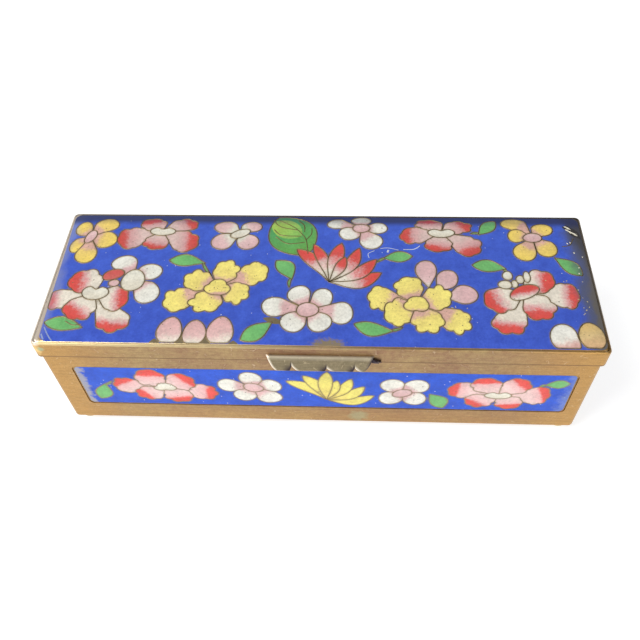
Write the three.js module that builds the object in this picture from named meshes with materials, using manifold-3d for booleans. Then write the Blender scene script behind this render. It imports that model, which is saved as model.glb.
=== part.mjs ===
// A small brass trinket box with inset cloisonne enamel, in millimetres, +Z up.
// Its long front looks towards -Y and its length runs along X. The origin is
// the middle of its footprint, on the surface that its four ball feet stand on.
// The body and the lid are hollow brass shells. A shallow pocket in each wall,
// and one in the top of the lid, holds a separate plaque of enamel.

import * as THREE from "three";
import { mergeVertices } from "three/addons/utils/BufferGeometryUtils.js";
import Module from "manifold-3d";

// Overall sizes
const LENGTH = 110;              // the lid, end to end
const DEPTH = 35.6;              // the lid, front to back
const FOOT_HEIGHT = 2.2;
const BODY_HEIGHT = 23.85;       // the body's underside to the seam below the lid
const LID_HEIGHT = 4.25;         // the seam to the rim around the lid's enamel
const PILLOW_RISE = 0.6;         // the middle of the lid's enamel above that rim
const OVERHANG = 0.45;           // the lid past the body, on every side
const CORNER_RADIUS = 1.1;       // the upright corners of the lid and the body
const EDGE_RADIUS = 0.45;        // the worn arris round the top and the bottom

// Brass shells
const WALL = 1.2;
const FLOOR = 1.2;
const LID_WALL = 1.1;
const LID_PLATE = 0.9;           // brass under the lid's enamel
const LINER = 0.8;               // the strip inside the body that locates the lid
const LINER_RISE = 1.8;          // the strip above the seam
const LINER_DROP = 3.5;          // the strip below the seam
const LID_CLEARANCE = 0.15;      // between that strip and the lid's wall

// Enamel plaques, which lie in pockets of the brass
const PLAQUE = 0.6;
const PLAQUE_INSET = 0.1;        // the wall plaques below the face of the brass
const PLAQUE_GAP = 0.05;         // the joint all round and behind each plaque
const PLAQUE_RADIUS = 1.0;
const PANEL_HEIGHT = 14;
const PANEL_SILL = 5.8;          // brass below each wall plaque
const PANEL_WIDTH = 100.6;       // front and back
const PANEL_SHIFT = 0.9;         // the long plaques sit this far to the right
const END_PANEL_WIDTH = 26.6;
const LID_BORDER = 0.5;          // the brass rim round the lid's enamel
const LID_POCKET = 0.8;
const PILLOW_EDGE = 5;           // the width over which the lid's enamel curves down

// Thumb tab, a scalloped plate soldered to the middle of the lid's front
const TAB_LOBES = [-9.5, -4.4, 2.4, 7.8, 11.6];   // its ends and the notches between lobes
const TAB_TOP = 1.75;            // above the seam
const TAB_DROP = 3.1;            // down the slope of the plate
const TAB_THICKNESS = 0.9;
const TAB_TILT = THREE.MathUtils.degToRad(15);
const TAB_NOTCH = 1.25;          // how far each notch cuts up between the lobes
const TAB_ROUND = 1.9;           // how far the ends curve in
const TAB_SEAT = 0.3;            // the solder fillet between the plate and the lid

// Ball feet
const FOOT_RADIUS = 2.25;
const FOOT_FLAT = 1.0;
const FOOT_INSET = 2.7;          // a foot's centre in from the faces of the body
const FOOT_SIDES = 20;

// Sizes that follow from those
const bodyLength = LENGTH - 2 * OVERHANG;
const bodyDepth = DEPTH - 2 * OVERHANG;
const seam = FOOT_HEIGHT + BODY_HEIGHT;
const rim = seam + LID_HEIGHT;
const lidPocketFloor = rim - LID_POCKET;
const panelCentre = FOOT_HEIGHT + PANEL_SILL + PANEL_HEIGHT / 2;
const tabReach = TAB_SEAT + TAB_DROP * Math.sin(TAB_TILT) + TAB_THICKNESS * Math.cos(TAB_TILT);

const wasm = await Module();
wasm.setup();

// The same closed surface as a solid for cutting and joining.
function toSolid(geometry) {
  const bare = geometry.clone();
  bare.deleteAttribute("normal");
  bare.deleteAttribute("uv");
  const merged = mergeVertices(bare, 1e-5);
  return new wasm.Manifold(new wasm.Mesh({
    numProp: 3,
    vertProperties: new Float32Array(merged.attributes.position.array),
    triVerts: new Uint32Array(merged.index.array),
  }));
}

// A cut or joined solid back as a three.js surface.
function toGeometry(solid) {
  const mesh = solid.getMesh();
  const geometry = new THREE.BufferGeometry();
  geometry.setAttribute("position", new THREE.BufferAttribute(mesh.vertProperties, 3));
  geometry.setIndex(new THREE.BufferAttribute(mesh.triVerts, 1));
  geometry.computeVertexNormals();
  return geometry;
}

function roundedRectangle(width, height, radius) {
  const x = width / 2;
  const y = height / 2;
  const shape = new THREE.Shape();
  shape.moveTo(radius - x, -y);
  shape.lineTo(x - radius, -y);
  shape.absarc(x - radius, radius - y, radius, -Math.PI / 2, 0);
  shape.lineTo(x, y - radius);
  shape.absarc(x - radius, y - radius, radius, 0, Math.PI / 2);
  shape.lineTo(radius - x, y);
  shape.absarc(radius - x, y - radius, radius, Math.PI / 2, Math.PI);
  shape.lineTo(-x, radius - y);
  shape.absarc(radius - x, radius - y, radius, Math.PI, 1.5 * Math.PI);
  return shape;
}

// A flat-sided block of the given plan, from the level z upwards.
function block(width, depth, radius, z, height) {
  const plan = roundedRectangle(width, depth, radius);
  const geometry = new THREE.ExtrudeGeometry(plan, { depth: height, bevelEnabled: false, curveSegments: 5 });
  return geometry.translate(0, 0, z);
}

// The same block with its top and bottom edges rounded over.
function softBlock(width, depth, radius, z, height) {
  const plan = roundedRectangle(width, depth, radius);
  const geometry = new THREE.ExtrudeGeometry(plan, {
    depth: height - 2 * EDGE_RADIUS,
    bevelThickness: EDGE_RADIUS,
    bevelSize: EDGE_RADIUS,
    bevelOffset: -EDGE_RADIUS,
    bevelSegments: 3,
    curveSegments: 5,
  });
  return geometry.translate(0, 0, z + EDGE_RADIUS);
}

// Each wall's plaque stands upright, centred on the wall and facing outwards.
const walls = [
  { name: "front", turn: 0, reach: bodyDepth / 2, width: PANEL_WIDTH, shift: PANEL_SHIFT },
  { name: "right", turn: Math.PI / 2, reach: bodyLength / 2, width: END_PANEL_WIDTH, shift: 0 },
  { name: "back", turn: Math.PI, reach: bodyDepth / 2, width: PANEL_WIDTH, shift: -PANEL_SHIFT },
  { name: "left", turn: -Math.PI / 2, reach: bodyLength / 2, width: END_PANEL_WIDTH, shift: 0 },
];

// A plaque lies in its own XY plane with its back at z = 0. This stands it up
// with its back in the wall, its face outwards.
function wallPlacement(wall, backDepth) {
  const turned = new THREE.Matrix4().makeRotationZ(wall.turn);
  const moved = new THREE.Matrix4().makeTranslation(wall.shift, backDepth - wall.reach, panelCentre);
  const upright = new THREE.Matrix4().makeRotationX(Math.PI / 2);
  return turned.multiply(moved).multiply(upright);
}

function bodyShell() {
  const pocketDepth = PLAQUE + PLAQUE_INSET + PLAQUE_GAP;
  const inner = block(bodyLength - 2 * WALL, bodyDepth - 2 * WALL, CORNER_RADIUS / 2,
    FOOT_HEIGHT + FLOOR, BODY_HEIGHT);
  let shell = toSolid(softBlock(bodyLength, bodyDepth, CORNER_RADIUS, FOOT_HEIGHT, BODY_HEIGHT + 1));
  shell = shell.subtract(toSolid(inner));
  shell = shell.subtract(toSolid(block(LENGTH, DEPTH, CORNER_RADIUS, seam, 2)));
  const linerLength = LENGTH - 2 * (LID_WALL + LID_CLEARANCE);
  const linerDepth = DEPTH - 2 * (LID_WALL + LID_CLEARANCE);
  const linerHeight = LINER_DROP + LINER_RISE;
  const strip = toSolid(block(linerLength, linerDepth, CORNER_RADIUS, seam - LINER_DROP, linerHeight));
  const hollow = block(linerLength - 2 * LINER, linerDepth - 2 * LINER, CORNER_RADIUS / 2,
    seam - LINER_DROP - 1, linerHeight + 2);
  shell = shell.add(strip.subtract(toSolid(hollow)));
  for (const wall of walls) {
    const pocket = block(wall.width + 2 * PLAQUE_GAP, PANEL_HEIGHT + 2 * PLAQUE_GAP,
      PLAQUE_RADIUS + PLAQUE_GAP, 0, pocketDepth + 1);
    shell = shell.subtract(toSolid(pocket.applyMatrix4(wallPlacement(wall, pocketDepth))));
  }
  return toGeometry(shell);
}

function lidShell() {
  const outer = softBlock(LENGTH, DEPTH, CORNER_RADIUS, seam - 1, LID_HEIGHT + 1);
  const below = block(LENGTH + 2, DEPTH + 2, CORNER_RADIUS, seam - 2, 2);
  const hollow = block(LENGTH - 2 * LID_WALL, DEPTH - 2 * LID_WALL, CORNER_RADIUS / 2,
    seam - 2, 2 + lidPocketFloor - LID_PLATE - seam);
  const pocket = block(LENGTH - 2 * LID_BORDER, DEPTH - 2 * LID_BORDER, CORNER_RADIUS - LID_BORDER,
    lidPocketFloor, LID_POCKET + 1);
  const shell = toSolid(outer).subtract(toSolid(below)).subtract(toSolid(hollow));
  return toGeometry(shell.subtract(toSolid(pocket)));
}

// The lid's enamel swells into a low cushion: level in the middle, curved down
// to the brass rim all round.
function lidPlaque() {
  const length = LENGTH - 2 * (LID_BORDER + PLAQUE_GAP);
  const depth = DEPTH - 2 * (LID_BORDER + PLAQUE_GAP);
  const back = lidPocketFloor + PLAQUE_GAP;
  const level = new THREE.Shape();
  level.moveTo(PILLOW_EDGE - length / 2, PILLOW_EDGE - depth / 2);
  level.lineTo(length / 2 - PILLOW_EDGE, PILLOW_EDGE - depth / 2);
  level.lineTo(length / 2 - PILLOW_EDGE, depth / 2 - PILLOW_EDGE);
  level.lineTo(PILLOW_EDGE - length / 2, depth / 2 - PILLOW_EDGE);
  const cushion = new THREE.ExtrudeGeometry(level, {
    depth: LID_POCKET,
    bevelThickness: PILLOW_RISE,
    bevelSize: PILLOW_EDGE,
    bevelSegments: 6,
  });
  cushion.translate(0, 0, lidPocketFloor);
  const trimmed = block(length, depth, CORNER_RADIUS - LID_BORDER - PLAQUE_GAP, back, LID_POCKET + 1);
  return toGeometry(toSolid(cushion).intersect(toSolid(trimmed)));
}

// The scalloped outline hangs down from y = 0: ends that curve in, and lobes
// with round shoulders between sharp notches.
function tabOutline() {
  const shoulder = TAB_NOTCH * 0.75;
  const last = TAB_LOBES.length - 1;
  const shape = new THREE.Shape();
  shape.moveTo(TAB_LOBES[last], 0);
  shape.lineTo(TAB_LOBES[0], 0);
  shape.quadraticCurveTo(TAB_LOBES[0] + 0.2 * TAB_ROUND, -TAB_DROP, TAB_LOBES[0] + TAB_ROUND, -TAB_DROP);
  for (let i = 1; i < last; i += 1) {
    const notch = TAB_LOBES[i];
    shape.lineTo(notch - shoulder, -TAB_DROP);
    shape.quadraticCurveTo(notch, -TAB_DROP, notch, TAB_NOTCH - TAB_DROP);
    shape.quadraticCurveTo(notch + 0.3 * shoulder, -TAB_DROP, notch + 1.3 * shoulder, -TAB_DROP);
  }
  shape.lineTo(TAB_LOBES[last] - TAB_ROUND, -TAB_DROP);
  shape.quadraticCurveTo(TAB_LOBES[last] - 0.2 * TAB_ROUND, -TAB_DROP, TAB_LOBES[last], 0);
  return shape;
}

// The plate is made with its top inner edge on the X axis, its outer face
// towards -Y, leaning out at the bottom, with the fillet behind its top.
function tabPlate() {
  const plate = new THREE.ExtrudeGeometry(tabOutline(), {
    depth: TAB_THICKNESS,
    bevelEnabled: false,
    curveSegments: 5,
  });
  plate.rotateX(Math.PI / 2 - TAB_TILT);
  plate.translate(0, -TAB_SEAT, 0);
  const width = TAB_LOBES[TAB_LOBES.length - 1] - TAB_LOBES[0] - TAB_ROUND;
  const fillet = new THREE.BoxGeometry(width, 2 * TAB_SEAT, 1);
  fillet.translate((TAB_LOBES[0] + TAB_LOBES[TAB_LOBES.length - 1]) / 2, -TAB_SEAT, -0.6);
  return toGeometry(toSolid(plate).add(toSolid(fillet)));
}

// A flattened ball with a small flat to stand on and a flat top to solder.
function footBall() {
  const profile = [new THREE.Vector2(0, 0)];
  const steps = 8;
  const low = -Math.acos(FOOT_FLAT / FOOT_RADIUS);
  const high = Math.acos(0.75);
  const span = Math.sin(high) - Math.sin(low);
  for (let i = 0; i <= steps; i += 1) {
    const angle = low + ((high - low) * i) / steps;
    const height = ((Math.sin(angle) - Math.sin(low)) / span) * FOOT_HEIGHT;
    profile.push(new THREE.Vector2(FOOT_RADIUS * Math.cos(angle), height));
  }
  profile.push(new THREE.Vector2(0, FOOT_HEIGHT));
  return new THREE.LatheGeometry(profile, FOOT_SIDES).rotateX(Math.PI / 2);
}

const brass = { color: 0xb78f5c, roughness: 0.45, metalness: 1 };
const tarnishedBrass = { color: 0x8f8266, roughness: 0.6, metalness: 1 };
const blueEnamel = { color: 0x3a55c0, roughness: 0.15, metalness: 0 };

function piece(name, geometry, finish) {
  const mesh = new THREE.Mesh(geometry, new THREE.MeshStandardMaterial(finish));
  mesh.name = name;
  return mesh;
}

// The tab reaches past the lid's front, so the box stands half that far back.
const group = new THREE.Group();
group.position.y = tabReach / 2;

group.add(piece("body", bodyShell(), brass));
group.add(piece("lid", lidShell(), brass));
group.add(piece("lid_enamel", lidPlaque(), blueEnamel));

for (const wall of walls) {
  const plaque = block(wall.width, PANEL_HEIGHT, PLAQUE_RADIUS, 0, PLAQUE);
  const panel = piece(`${wall.name}_enamel_panel`, plaque, blueEnamel);
  panel.applyMatrix4(wallPlacement(wall, PLAQUE + PLAQUE_INSET));
  group.add(panel);
}

const tab = piece("thumb_tab", tabPlate(), tarnishedBrass);
tab.position.set(0, -DEPTH / 2, seam + TAB_TOP);
group.add(tab);

for (const [side, x] of [["left", -1], ["right", 1]]) {
  for (const [row, y] of [["front", -1], ["back", 1]]) {
    const foot = piece(`foot_${row}_${side}`, footBall(), brass);
    foot.position.set(x * (bodyLength / 2 - FOOT_INSET), y * (bodyDepth / 2 - FOOT_INSET), 0);
    group.add(foot);
  }
}

export default group;
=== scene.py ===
# %% [markdown]
# # A small cloisonne box
#
# The real object is a brass box, 110 mm long, whose lid and walls hold plaques
# of cloisonne: thin brass wires stand on edge on a metal plate, the cells
# between them are filled with coloured glass, and the whole is fired and
# ground level. A maker builds it from the frame outwards, and so does this
# file: first the brass, then each plaque as one flat drawing of cells.

import random
from math import atan2, ceil, cos, exp, log, pi, radians, sin, sqrt

import bmesh
import bpy
from mathutils import Matrix, Vector, kdtree
from mathutils.geometry import delaunay_2d_cdt


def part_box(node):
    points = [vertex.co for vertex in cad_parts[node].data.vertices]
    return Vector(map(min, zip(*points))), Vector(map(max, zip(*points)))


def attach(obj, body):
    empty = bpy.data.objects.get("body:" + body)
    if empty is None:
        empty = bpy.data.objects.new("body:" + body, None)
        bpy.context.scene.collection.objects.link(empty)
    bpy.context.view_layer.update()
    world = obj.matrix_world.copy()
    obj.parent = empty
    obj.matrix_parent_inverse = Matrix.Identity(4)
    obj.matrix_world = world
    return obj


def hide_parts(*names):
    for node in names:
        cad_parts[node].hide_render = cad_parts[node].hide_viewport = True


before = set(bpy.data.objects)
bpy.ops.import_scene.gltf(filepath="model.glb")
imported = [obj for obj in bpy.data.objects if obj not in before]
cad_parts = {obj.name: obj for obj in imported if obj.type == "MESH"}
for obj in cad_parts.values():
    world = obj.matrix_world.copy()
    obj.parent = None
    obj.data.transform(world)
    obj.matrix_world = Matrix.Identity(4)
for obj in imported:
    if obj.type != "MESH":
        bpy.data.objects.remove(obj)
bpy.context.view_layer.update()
scene = bpy.context.scene
print("the frame holds", ", ".join(sorted(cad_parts)))

# %% [markdown]
# ## Units, colours and nodes
#
# Blender works in metres, and a small box is easier to think about in
# millimetres, so sizes are written in millimetres and multiplied by MM once.
# Colours are written as the sRGB values one reads off a paint chart. Blender's
# shaders want linear light, so one function converts them all.

# %% Helpers for sizes, colours and node trees
MM = 0.001


def srgb(code):
    """A colour such as "#2F4FC0" as the linear red, green, blue and alpha that shaders take."""
    channels = [int(code[i:i + 2], 16) / 255 for i in (1, 3, 5)]
    return [c / 12.92 if c <= 0.04045 else ((c + 0.055) / 1.055) ** 2.4 for c in channels] + [1.0]


def per(size):
    """The Scale of a texture whose features are `size` millimetres across."""
    return 1 / (size * MM)


def add_node(tree, kind, inputs=None, stops=None, **settings):
    """Adds a node. inputs fills its sockets with values or links; stops fills a colour ramp."""
    node = tree.nodes.new(kind)
    for name, value in settings.items():
        setattr(node, name, value)
    for key, value in (inputs or {}).items():
        if isinstance(value, bpy.types.NodeSocket):
            tree.links.new(value, node.inputs[key])
        else:
            node.inputs[key].default_value = value
    for i, (position, colour) in enumerate(stops or []):
        element = node.color_ramp.elements[i] if i < 2 else node.color_ramp.elements.new(position)
        element.position = position
        element.color = colour
    return node


def made(tree, kind, inputs=None, **settings):
    """Adds a node and returns its first output."""
    return add_node(tree, kind, inputs, **settings).outputs[0]


class Nodes:
    """Shorthand for the commonest nodes of a material; most methods return an output socket."""

    def __init__(self, tree):
        self.tree = tree
        self.where = self.add("ShaderNodeTexCoord").outputs["Object"]

    def add(self, kind, inputs=None, **settings):
        return add_node(self.tree, kind, inputs, **settings)

    def made(self, kind, inputs=None, **settings):
        return made(self.tree, kind, inputs, **settings)

    def attribute(self, name):
        return self.add("ShaderNodeAttribute", attribute_name=name).outputs["Fac"]

    def noise(self, size, detail, roughness=0.5, vector=None):
        """Cloudy noise; size is in millimetres."""
        cloudy = {"Vector": vector or self.where, "Scale": per(size), "Detail": detail,
            "Roughness": roughness}
        return self.add("ShaderNodeTexNoise", cloudy).outputs["Fac"]

    def maths(self, operation, *values, **settings):
        return self.made("ShaderNodeMath", dict(enumerate(values)), operation=operation, **settings)

    def vector(self, operation, *values, result="Vector"):
        return self.add("ShaderNodeVectorMath", dict(enumerate(values)),
            operation=operation).outputs[result]

    def axes(self, vector):
        return list(self.add("ShaderNodeSeparateXYZ", {0: vector}).outputs)

    def between(self, value, starts, full, low=0.0, high=1.0, **settings):
        """low where the value is at starts, high where it is at full, and even in between."""
        return self.made("ShaderNodeMapRange", {"Value": value, 1: starts, 2: full, 3: low, 4: high},
            **settings)

    def scaled(self, colour, factor):
        return self.made("ShaderNodeVectorMath", {0: colour, 3: factor}, operation="SCALE")

    def blend(self, amount, colour, code):
        return self.add("ShaderNodeMix", {0: amount, 6: colour, 7: srgb(code)}, data_type="RGBA").outputs[2]

    def paint(self, colour, code, axis, starts, full, strength, mask=None, **settings):
        """Lays a colour on, more and more from starts to full, in millimetres, where the mask allows it."""
        reach = self.between(axis, starts * MM, full * MM, 0.0, strength, **settings)
        if mask is not None:
            reach = self.maths("MULTIPLY", reach, mask)
        return self.blend(reach, colour, code)

    def bump(self, height, depth, strength, normal=None):
        """Relief; depth is in millimetres."""
        inputs = {"Strength": strength, "Distance": depth * MM, "Height": height}
        if normal is not None:
            inputs["Normal"] = normal
        return self.made("ShaderNodeBump", inputs)

    def surface(self, colour, roughness, normal):
        """Joins the shader up and returns it."""
        shader = self.tree.nodes["Principled BSDF"]
        for name, socket in (("Base Color", colour), ("Roughness", roughness), ("Normal", normal)):
            self.tree.links.new(socket, shader.inputs[name])
        return shader


def new_material(name):
    """An empty node material."""
    material = bpy.data.materials.new(name)
    material.use_nodes = True
    return material


def new_mesh(name, places, edges=(), faces=(), material=None):
    """A mesh of these places, which are in metres."""
    mesh = bpy.data.meshes.new(name)
    mesh.from_pydata(places, edges, faces)
    if material:
        mesh.materials.append(material)
    return mesh


def link_object(name, mesh):
    """Shows a mesh as an object at the origin."""
    piece = bpy.data.objects.new(name, mesh)
    scene.collection.objects.link(piece)
    return piece


def finish_piece(piece, slot, *nodes):
    """Hands a finished piece to the frame: it rides on the box and stands for these CAD nodes."""
    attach(piece, "root")
    if nodes:
        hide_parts(*nodes)
    print(piece.name, "has", len(piece.data.polygons), "faces")


print("one millimetre is", MM, "m")

# %% [markdown]
# ## Sizes from the frame
#
# Every place below is worked out from the boxes of the CAD nodes, so the looks
# stay on the construction if its sizes change.

# %% Read the lid, its plaque and the tab
def box_mm(node):
    """A CAD node's lowest and highest corner in millimetres."""
    low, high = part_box(node)
    return low / MM, high / MM


lid_low, lid_high = box_mm("lid")
top_low, top_high = box_mm("lid_enamel")
tab_back_top = box_mm("thumb_tab")[1]
middle = (lid_low + lid_high) / 2
print("lid", [round(v, 2) for v in lid_high - lid_low], "seam at", round(lid_low.z, 2))

# %% [markdown]
# ## Camera and light
#
# The box is seen from in front and above, turned a little, with the camera
# close enough for some perspective. The light is a plain soft studio: a pale
# floor, a large soft light from the upper left, and a pale surround that
# darkens to the right and behind, which the curved edges of the enamel mirror.

# %% Camera
CAMERA_AT = Vector((7.51, -93.92, 140.38))
CAMERA_TURN = radians(-4.68)
CAMERA_PITCH = radians(52.59)
CAMERA_ROLL = radians(-2.89)

forward = Vector((sin(CAMERA_TURN) * cos(CAMERA_PITCH), cos(CAMERA_TURN) * cos(CAMERA_PITCH),
    -sin(CAMERA_PITCH)))
level = Vector((cos(CAMERA_TURN), -sin(CAMERA_TURN), 0))
upright = level.cross(forward)
right = level * cos(CAMERA_ROLL) + upright * sin(CAMERA_ROLL)
above = upright * cos(CAMERA_ROLL) - level * sin(CAMERA_ROLL)

camera = bpy.data.objects.new("camera", bpy.data.cameras.new("camera"))
camera.data.lens = 40.3
camera.data.sensor_width = 36
camera.data.clip_start = 0.005
camera.matrix_world = Matrix.Translation(CAMERA_AT
    * MM) @ Matrix((right, above, -forward)).transposed().to_4x4()
scene.collection.objects.link(camera)
scene.camera = camera
scene.view_settings.view_transform = "Standard"
print("the camera is", round((CAMERA_AT - middle).length), "mm from the box")

# %% Floor, lights and surround
floor_material = new_material("matt_white_board")
floor_shader = floor_material.node_tree.nodes["Principled BSDF"]
floor_shader.inputs["Base Color"].default_value = srgb("#BCBCBC")
floor_shader.inputs["Roughness"].default_value = 0.9
floor_shader.inputs["Emission Color"].default_value = srgb("#FFFFFF")
floor_shader.inputs["Emission Strength"].default_value = 0.72
floor_corners = [(-2, -2, 0), (2, -2, 0), (2, 2, 0), (-2, 2, 0)]
floor = link_object("floor", new_mesh("floor", floor_corners, [], [(0, 1, 2, 3)], floor_material))


def soft_light(name, at, size, power):
    """A square soft light at a place in metres, aimed at the box."""
    light = bpy.data.lights.new(name, "AREA")
    light.size = size
    light.energy = power
    lamp = bpy.data.objects.new(name, light)
    lamp.location = at
    lamp.rotation_euler = (middle * MM - Vector(at)).to_track_quat("-Z", "Y").to_euler()
    scene.collection.objects.link(lamp)


soft_light("key_light", (-0.45, -0.25, 0.7), 0.35, 4.6)
soft_light("front_fill", (0.25, -0.7, 0.35), 0.4, 1.2)

surround = bpy.data.worlds.new("studio")
surround.use_nodes = True
sky = surround.node_tree
direction = add_node(sky, "ShaderNodeTexCoord").outputs["Generated"]
aside = add_node(sky, "ShaderNodeVectorMath", {0: direction, 1: (0.75, 0.55, -0.35)},
    operation="DOT_PRODUCT")
tone = add_node(sky, "ShaderNodeValToRGB", {"Fac": aside.outputs["Value"]},
    stops=[(0.15, srgb("#F2F4F6")), (0.75, srgb("#5A5C60"))])
backdrop = sky.nodes["Background"]
sky.links.new(tone.outputs["Color"], backdrop.inputs["Color"])
backdrop.inputs["Strength"].default_value = 0.5
scene.world = surround

# %% [markdown]
# ## Brass
#
# The box is sheet brass, an alloy of copper and zinc, soldered and polished
# long ago. Handling leaves satin yellow metal on the corners and a thin
# pinkish-brown oxide on the flats, with hairline scratches along the length.
# The oxide is a film, so the metal keeps its gloss under it: the colour
# changes more than the shine.

# %% Brass materials
GILT_FROM, GILT_FULL = 32, 55   # millimetres from the middle over which the ends grow yellower
SEAM_SHADE = 0.35                # millimetres above and below the seam that are painted darker, as painted shade
HIGHLIGHT_LINE = 30.15               # the height of the painted highlight along the lid's edge


def hairlines(nodes):
    """Scratches about 0.1 mm apart and several long, along the box and across its ends."""
    facing = nodes.axes(nodes.add("ShaderNodeTexCoord").outputs["Normal"])
    on_end = nodes.maths("GREATER_THAN", nodes.maths("ABSOLUTE", facing[0]), 0.8)
    x, y, z = nodes.axes(nodes.where)
    turned = nodes.made("ShaderNodeCombineXYZ", {0: y, 1: x, 2: z})
    along = nodes.add("ShaderNodeMix", {0: on_end, 4: nodes.where, 5: turned},
        data_type="VECTOR").outputs[1]
    stretched = nodes.made("ShaderNodeMapping", {"Vector": along, "Scale": (0.06, 0.8, 1.0)})
    return nodes.noise(0.22, 3.0, 0.6, stretched)


def marks_and_painted_light(nodes, colour, mottle):
    """The box's marks and painted light: painted shade in the seam and on the lid's edge, painted
    highlights on its edge and front corners, which are also rubbed, and verdigris.
    """
    x, y, z = nodes.axes(nodes.where)
    # painted shade in the seam under the lid, and a painted highlight along the lid's front edge at the
    # left
    in_seam = nodes.maths("COMPARE", z, lid_low.z * MM, SEAM_SHADE * MM)
    colour = nodes.blend(nodes.maths("MULTIPLY", in_seam, 0.55), colour, "#6E5540")
    on_line = nodes.maths("COMPARE", z, HIGHLIGHT_LINE * MM, 0.2 * MM)
    colour = nodes.paint(colour, "#F6E2AE", x, 20, -50, 0.7, on_line)
    # the lid's edge: painted shade at its right end and back, where it mirrors the dark surround, and a
    # painted highlight at its left end
    on_edge = nodes.between(z, 29.6 * MM, 30.0 * MM)
    slanted = nodes.maths("MULTIPLY_ADD", y, 0.25, x)
    for code, axis, starts, full, strength in (("#A0978A", slanted, 50.2, 53.0, 0.85),
            ("#5A564E", y, 17.9, 18.3, 0.6), ("#FFF1E2", x, -53.0, -53.8, 0.82)):
        colour = nodes.paint(colour, code, axis, starts, full, strength, on_edge)
    # the lid's two front corners are rubbed bright and painted lighter still as highlights; beside the left
    # one is a spot of pale verdigris, and a fainter one is low on the front
    for code, at, size, strength in (("#FFE09A", (-55.0, -17.6, 28.4), 2.2, 0.8),
            ("#FFE2AE", (55.2, -17.6, 30.4), 1.3, 0.6), ("#A9BE9C", (-53.2, -16.8, 28.6), 0.8, 0.7),
            ("#A9BE9C", (8.4, -16.4, 4.9), 2.4, 0.35)):
        gap = nodes.vector("DISTANCE", nodes.where, Vector(at) * MM, result="Value")
        ragged = nodes.maths("MULTIPLY_ADD", mottle, size * MM, gap)
        colour = nodes.paint(colour, code, ragged, 1.5 * size, size, strength)
    return colour


def old_brass(name, clean, oxide, spread, shine, scratch_depth=0.012, gilt=None):
    """Worn sheet brass. spread is how far the oxide reaches (0 to 1), shine is its roughness.
    gilt is for the box itself: the yellower colour of its two ends, where hands have held it; it also
    brings the box's marks, painted shade and painted highlights."""
    material = new_material(name)
    nodes = Nodes(material.node_tree)
    clouds = nodes.noise(14, 5.0)
    mottle = nodes.noise(1.1, 5.0)
    both = nodes.made("ShaderNodeMix", {0: 0.4, 2: clouds, 3: mottle})
    film = nodes.between(both, 0.6 - 0.4 * spread, 0.85 - 0.4 * spread)
    colour = nodes.blend(film, srgb(clean), oxide)
    if gilt:
        x, _, z = nodes.axes(nodes.where)
        near_end = nodes.between(nodes.maths("ABSOLUTE", x), GILT_FROM * MM, GILT_FULL * MM,
            interpolation_type="SMOOTHSTEP")
        low_down = nodes.between(z, 12 * MM, 4 * MM, 0.0, 0.45)
        colour = nodes.blend(nodes.maths("MAXIMUM", near_end, low_down), colour, gilt)
    hair = hairlines(nodes)
    streak = nodes.between(hair, 0.3, 0.7, 0.86, 1.13)
    fleck = nodes.between(nodes.noise(0.25, 2.0), 0.3, 0.7, 0.9, 1.1)
    colour = nodes.scaled(colour, nodes.maths("MULTIPLY", streak, fleck))
    # dents and rubs: bright, short and scattered
    cracks = nodes.add("ShaderNodeTexVoronoi", {"Vector": nodes.where, "Scale": per(2.3)},
        feature="DISTANCE_TO_EDGE").outputs["Distance"]
    line = nodes.between(cracks, 0.0, 0.04, 1.0, 0.0)
    here = nodes.between(mottle, 0.56, 0.68, 0.0, 0.45)
    colour = nodes.blend(nodes.maths("MULTIPLY", line, here), colour, "#F3E2BE")
    if gilt:
        colour = marks_and_painted_light(nodes, colour, mottle)
    # where the mesh says so, painted shade darkens the corners, and painted highlights, with some real
    # wear, brighten the rubbed places
    colour = nodes.blend(nodes.attribute("painted_shade"), colour, "#443B40")
    colour = nodes.blend(nodes.attribute("worn"), colour, "#FFF4E0")
    gloss = nodes.between(mottle, 0.0, 1.0, shine - 0.1, shine + 0.12)
    dents = nodes.bump(clouds, 0.04, 0.5)
    shader = nodes.surface(colour, gloss, nodes.bump(hair, scratch_depth, 0.6, dents))
    shader.inputs["Metallic"].default_value = 1.0
    return material


sheet_brass = old_brass("satin_brass_sheet", "#AB9166", "#947258", 0.55, 0.42, gilt="#BC9358")
tab_brass = old_brass("tarnished_cast_brass", "#B5A687", "#8E8268", 0.8, 0.55, scratch_depth=0.03)
wire_brass = old_brass("ground_cloison_wire", "#A8946E", "#7E6C4E", 0.6, 0.5)
# the feet take a paler brass than the box, painted lighter as a highlight for the glint they show
foot_brass_painted_highlight = old_brass("rubbed_cast_brass_painted_highlight", "#D2BA80", "#B69862", 0.4, 0.38, scratch_depth=0.02)
# a dark metal for the lump that stands for the tab's shadow: a painted shadow
shadow_lump_metal = old_brass("dark_metal_painted_shadow", "#6B6068", "#453D44", 0.6, 0.6, scratch_depth=0.05)
for node in ("body", "lid"):
    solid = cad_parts[node]
    solid.data.materials.clear()
    solid.data.materials.append(sheet_brass)
print("brass finishes:", sheet_brass.name, tab_brass.name, wire_brass.name)

# %% [markdown]
# ## Enamel
#
# Cloisonne enamel is lead glass ground to a frit, coloured with metal oxides,
# packed wet into its cell and melted. Where two colours share a petal the
# grains of frit mix at the border, so the change is speckled, not smooth.
# Gas leaves pinholes that polishing opens. Each cell carries a number called
# shade, 0 at the heart of the flower and 1 at its tip, and each glaze turns
# that number into its own colours.

# %% Enamel glazes
FRIT = 0.5           # millimetres, how far a grain of frit strays over a border of two colours
PORE_SPACING = 0.85  # millimetres between pinholes


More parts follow.
